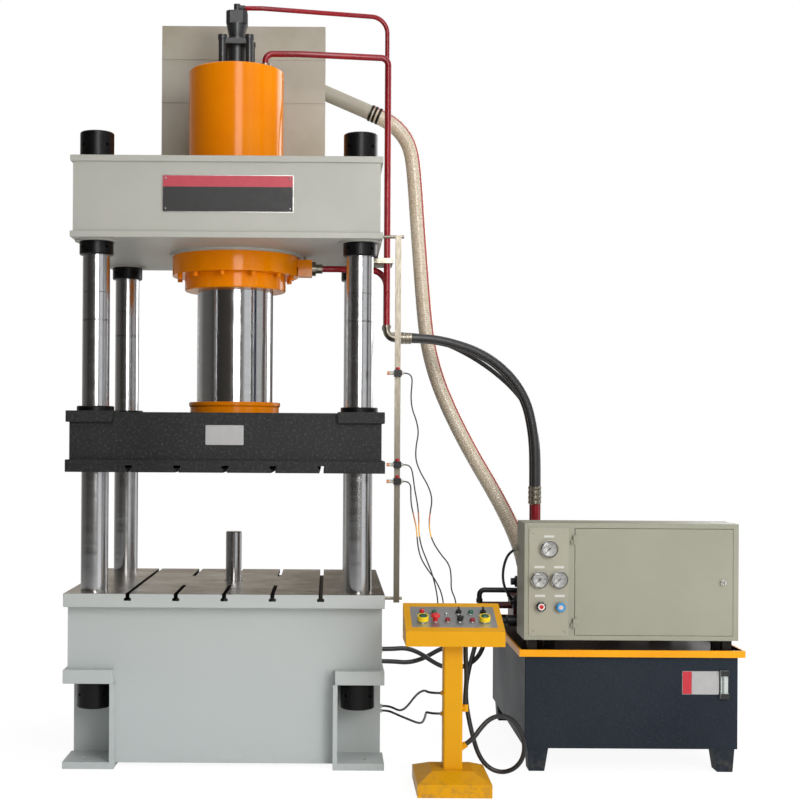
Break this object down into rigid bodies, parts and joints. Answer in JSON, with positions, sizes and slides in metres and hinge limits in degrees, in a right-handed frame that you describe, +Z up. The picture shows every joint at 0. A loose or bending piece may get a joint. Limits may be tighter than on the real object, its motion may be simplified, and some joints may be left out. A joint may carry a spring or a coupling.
{
  "type": "hydraulic press",
  "caption": "Upright column-guided hydraulic press with a moving beam, an ejector, a separate power unit with switch cabinet, and a control pedestal, joined by hoses and cables.",
  "frame": {"origin": "on the floor at the centre of the anchor holes, under the main cylinder's axis", "axes": "+X to the right, towards the power unit; +Y to the rear; +Z up, along the ram"},
  "size_m": [2.967, 1.69, 3.518],
  "materials": {
    "frame_paint": "warm light grey gloss enamel",
    "beam_paint": "charcoal enamel",
    "orange_paint": "orange gloss enamel",
    "hard_chrome": "hard chromed and polished",
    "black_steel": "black oxide",
    "dark_paint": "dark grey enamel",
    "pipe_paint": "dark red enamel",
    "plated_steel": "zinc plated",
    "sensor_body": "nickel plated",
    "tank_paint": "blue-grey enamel",
    "yellow_paint": "yellow-orange enamel",
    "cabinet_paint": "grey-beige enamel",
    "panel_metal": "satin anodised",
    "gauge_case": "black enamel",
    "pointer_paint": "black",
    "sight_glass": "clear moulding",
    "motor_paint": "grey enamel",
    "rotor_steel": "machined",
    "pump_metal": "as cast",
    "valve_metal": "dark phosphated",
    "lock_metal": "nickel plated",
    "red_plastic": "gloss",
    "blue_plastic": "gloss",
    "green_plastic": "gloss",
    "black_plastic": "matt",
    "seal_rubber": "matt",
    "hose_rubber": "smooth",
    "hose_plastic": "reinforced clear hose",
    "cable_plastic": "smooth sheath"
  },
  "bodies": {
    "press": {"base_frame": "frame_paint", "table_plate": "frame_paint", "corner_mounts": "frame_paint", "crown_beam": "frame_paint", "columns": "hard_chrome", "column_nuts": "black_steel", "cylinder_barrel": "orange_paint", "cylinder_gland": "orange_paint", "gland_screws": "orange_paint", "gland_seals": "seal_rubber", "filling_valve": "dark_paint", "filling_tank": "frame_paint", "steel_pipes": "pipe_paint", "pipe_fittings": "plated_steel", "switch_bar": "plated_steel", "proximity_switches": "sensor_body", "ejector_cylinder": "dark_paint", "oil_tank": "tank_paint", "drip_tray": "yellow_paint", "cabinet": "cabinet_paint", "gauge_panel": "panel_metal", "pressure_gauges": "gauge_case", "level_gauge": "sight_glass", "pump_motor": "motor_paint", "gear_pump": "pump_metal", "valve_manifold": "valve_metal", "control_pedestal": "yellow_paint", "console_panel": "panel_metal", "pressure_hose_large": "hose_rubber", "pressure_hose_small": "hose_rubber", "return_hose": "hose_plastic", "ejector_hoses": "hose_rubber", "console_cable": "cable_plastic", "sensor_cables": "cable_plastic", "base_cable": "cable_plastic", "valve_cable": "cable_plastic"},
    "moving_beam": {"slide_beam": "beam_paint", "guide_bushes": "black_steel", "ram": "hard_chrome", "ram_flange": "orange_paint", "piston_seals": "seal_rubber"},
    "ejector": {"ejector_rod": "plated_steel"},
    "door": {"cabinet_door": "cabinet_paint"},
    "lock": {"door_lock": "lock_metal"},
    "red_knob": {"valve_knob_red": "red_plastic"},
    "blue_knob": {"valve_knob_blue": "blue_plastic"},
    "main_pointer": {"gauge_pointer_main": "pointer_paint"},
    "left_pointer": {"gauge_pointer_left": "pointer_paint"},
    "right_pointer": {"gauge_pointer_right": "pointer_paint"},
    "rotor": {"motor_rotor": "rotor_steel"},
    "palm_button_left_body": {"palm_button_left": "green_plastic"},
    "emergency_stop_body": {"emergency_stop": "red_plastic"},
    "red_button_left_body": {"red_button_left": "red_plastic"},
    "cross_switch_body": {"cross_switch": "black_plastic"},
    "red_button_right_body": {"red_button_right": "red_plastic"},
    "palm_button_right_body": {"palm_button_right": "green_plastic"},
    "green_button_left_body": {"green_button_left": "green_plastic"},
    "selector_middle_body": {"selector_middle": "black_plastic"},
    "green_button_right_body": {"green_button_right": "green_plastic"},
    "selector_right_body": {"selector_right": "black_plastic"}
  },
  "joints": [
    {"name": "beam_travel", "type": "slide", "parent": "press", "child": "moving_beam", "axis": [0, 0, 1], "range_m": [-0.285, 0.5]},
    {"name": "ejector_travel", "type": "slide", "parent": "press", "child": "ejector", "axis": [0, 0, 1], "range_m": [-0.24, 0]},
    {"name": "door_swing", "type": "hinge", "parent": "press", "child": "door", "pos_m": [1.52, -0.608, 0.8275], "axis": [0, 0, -1], "range_deg": [0, 110]},
    {"name": "lock_turn", "type": "hinge", "parent": "door", "child": "lock", "pos_m": [2.171, -0.602, 0.827], "axis": [0, 1, 0], "range_deg": [0, 90]},
    {"name": "red_knob_turn", "type": "hinge", "parent": "press", "child": "red_knob", "pos_m": [1.377, -0.603, 0.719], "axis": [0, 1, 0], "range_deg": [-360, 360]},
    {"name": "blue_knob_turn", "type": "hinge", "parent": "press", "child": "blue_knob", "pos_m": [1.462, -0.603, 0.717], "axis": [0, 1, 0], "range_deg": [-360, 360]},
    {"name": "main_pointer_turn", "type": "hinge", "parent": "press", "child": "main_pointer", "pos_m": [1.412, -0.603, 0.969], "axis": [0, 1, 0], "range_deg": [0, 270], "stiffness_Nm_per_rad": 0.005},
    {"name": "left_pointer_turn", "type": "hinge", "parent": "press", "child": "left_pointer", "pos_m": [1.371, -0.603, 0.836], "axis": [0, 1, 0], "range_deg": [0, 270], "stiffness_Nm_per_rad": 0.005},
    {"name": "right_pointer_turn", "type": "hinge", "parent": "press", "child": "right_pointer", "pos_m": [1.456, -0.603, 0.836], "axis": [0, 1, 0], "range_deg": [0, 270], "stiffness_Nm_per_rad": 0.005},
    {"name": "rotor_spin", "type": "hinge", "parent": "press", "child": "rotor", "pos_m": [1.9, 0.15, 0.715], "axis": [1, 0, 0], "continuous": true},
    {"name": "palm_button_left_press", "type": "slide", "parent": "press", "child": "palm_button_left_body", "axis": [0, 0.323, -0.9464], "range_m": [0, 0.006], "stiffness_N_per_m": 600, "springref_m": -0.002},
    {"name": "emergency_stop_press", "type": "slide", "parent": "press", "child": "emergency_stop_body", "axis": [0, 0.323, -0.9464], "range_m": [0, 0.006]},
    {"name": "red_button_left_press", "type": "slide", "parent": "press", "child": "red_button_left_body", "axis": [0, 0.323, -0.9464], "range_m": [0, 0.006], "stiffness_N_per_m": 600, "springref_m": -0.002},
    {"name": "cross_switch_turn", "type": "hinge", "parent": "press", "child": "cross_switch_body", "pos_m": [0.998, -0.9042, 0.69233], "axis": [0, -0.323, 0.9464], "range_deg": [-45, 45]},
    {"name": "red_button_right_press", "type": "slide", "parent": "press", "child": "red_button_right_body", "axis": [0, 0.323, -0.9464], "range_m": [0, 0.006], "stiffness_N_per_m": 600, "springref_m": -0.002},
    {"name": "palm_button_right_press", "type": "slide", "parent": "press", "child": "palm_button_right_body", "axis": [0, 0.323, -0.9464], "range_m": [0, 0.006], "stiffness_N_per_m": 600, "springref_m": -0.002},
    {"name": "green_button_left_press", "type": "slide", "parent": "press", "child": "green_button_left_body", "axis": [0, 0.323, -0.9464], "range_m": [0, 0.006], "stiffness_N_per_m": 600, "springref_m": -0.002},
    {"name": "selector_middle_turn", "type": "hinge", "parent": "press", "child": "selector_middle_body", "pos_m": [0.998, -0.83511, 0.71591], "axis": [0, -0.323, 0.9464], "range_deg": [-45, 45]},
    {"name": "green_button_right_press", "type": "slide", "parent": "press", "child": "green_button_right_body", "axis": [0, 0.323, -0.9464], "range_m": [0, 0.006], "stiffness_N_per_m": 600, "springref_m": -0.002},
    {"name": "selector_right_turn", "type": "hinge", "parent": "press", "child": "selector_right_body", "pos_m": [1.1, -0.83511, 0.71591], "axis": [0, -0.323, 0.9464], "range_deg": [-45, 45]}
  ]
}
